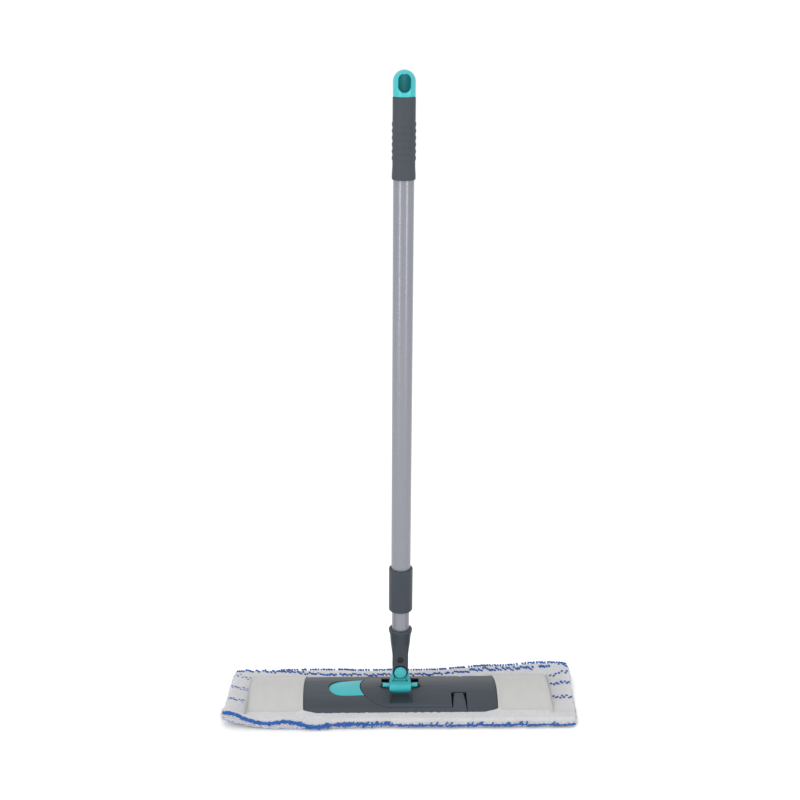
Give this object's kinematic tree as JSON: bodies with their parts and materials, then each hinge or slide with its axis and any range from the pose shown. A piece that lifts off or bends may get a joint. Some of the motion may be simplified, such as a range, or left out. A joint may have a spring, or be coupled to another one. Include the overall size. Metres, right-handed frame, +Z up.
{
  "type": "flat mop",
  "caption": "Flat mop: striped pocket pad on a folding wing plate, with a two-axis yoke and a telescopic twist-lock handle with a hanging eye.",
  "frame": {"origin": "centre of the pad's underside, where the mop stands on the floor, below the handle's axis", "axes": "+X along the pad to the right wing, +Y towards the rear edge, +Z up along the handle; the front, where the pivot pin's head is, faces -Y"},
  "size_m": [0.44, 0.136, 0.7918],
  "materials": {
    "graphite_plastic": "satin moulded graphite-grey polypropylene",
    "teal_plastic": "semi-gloss moulded teal plastic",
    "silver_paint": "smooth silver-grey powder paint on steel tube",
    "grip_rubber": "matt soft-touch grip, dark grey",
    "black_plastic": "plain black moulded plastic, hidden parts",
    "steel": "bright steel wire and washers",
    "white_microfibre": "white looped microfibre with blue stripes",
    "grey_cloth": "smooth light-grey woven cloth"
  },
  "bodies": {
    "plate": {"right_wing": "graphite_plastic", "hinge_pin": "steel", "pad_pile_right": "white_microfibre", "pad_backing_right": "grey_cloth", "pocket_right": "grey_cloth", "end_hem_right": "white_microfibre"},
    "left_side": {"left_wing": "graphite_plastic", "pedal_pin": "steel", "latch_spring": "steel", "pad_pile_left": "white_microfibre", "pad_backing_left": "grey_cloth", "pocket_left": "grey_cloth", "end_hem_left": "white_microfibre"},
    "pedal": {"release_pedal": "teal_plastic"},
    "yoke": {"yoke": "teal_plastic"},
    "lower_handle": {"handle_socket": "graphite_plastic", "socket_screw": "black_plastic", "pivot_pin": "teal_plastic", "pivot_clip": "steel", "tube_plug": "black_plastic", "inner_tube": "silver_paint", "lock_plug": "black_plastic", "lock_washer": "steel", "lock_screw": "steel"},
    "lock": {"lock_ring": "grip_rubber"},
    "upper_handle": {"outer_tube": "silver_paint", "tube_collar": "graphite_plastic", "grip_sleeve": "grip_rubber", "hang_cap": "teal_plastic"}
  },
  "joints": [
    {"name": "wing_fold", "type": "hinge", "parent": "plate", "child": "left_side", "pos_m": [0.074, 0, 0.015], "axis": [0, -1, 0], "range_deg": [0, 75]},
    {"name": "pedal_press", "type": "hinge", "parent": "left_side", "child": "pedal", "pos_m": [-0.084, 0, 0.0175], "axis": [0, 1, 0], "range_deg": [0, 5], "stiffness_Nm_per_rad": 2, "springref_deg": -4.58, "deforming": ["latch_spring"]},
    {"name": "yoke_tilt", "type": "hinge", "parent": "plate", "child": "yoke", "pos_m": [0, 0, 0.0252], "axis": [1, 0, 0], "range_deg": [-67, 67]},
    {"name": "handle_swing", "type": "hinge", "parent": "yoke", "child": "lower_handle", "pos_m": [0, 0, 0.0496], "axis": [0, 1, 0], "range_deg": [-80, 80]},
    {"name": "twist_lock", "type": "hinge", "parent": "lower_handle", "child": "lock", "pos_m": [0, 0, 0.705], "axis": [0, 0, 1], "range_deg": [0, 90]},
    {"name": "telescope", "type": "slide", "parent": "lock", "child": "upper_handle", "axis": [0, 0, 1], "range_m": [-0.024, 0.46]}
  ]
}
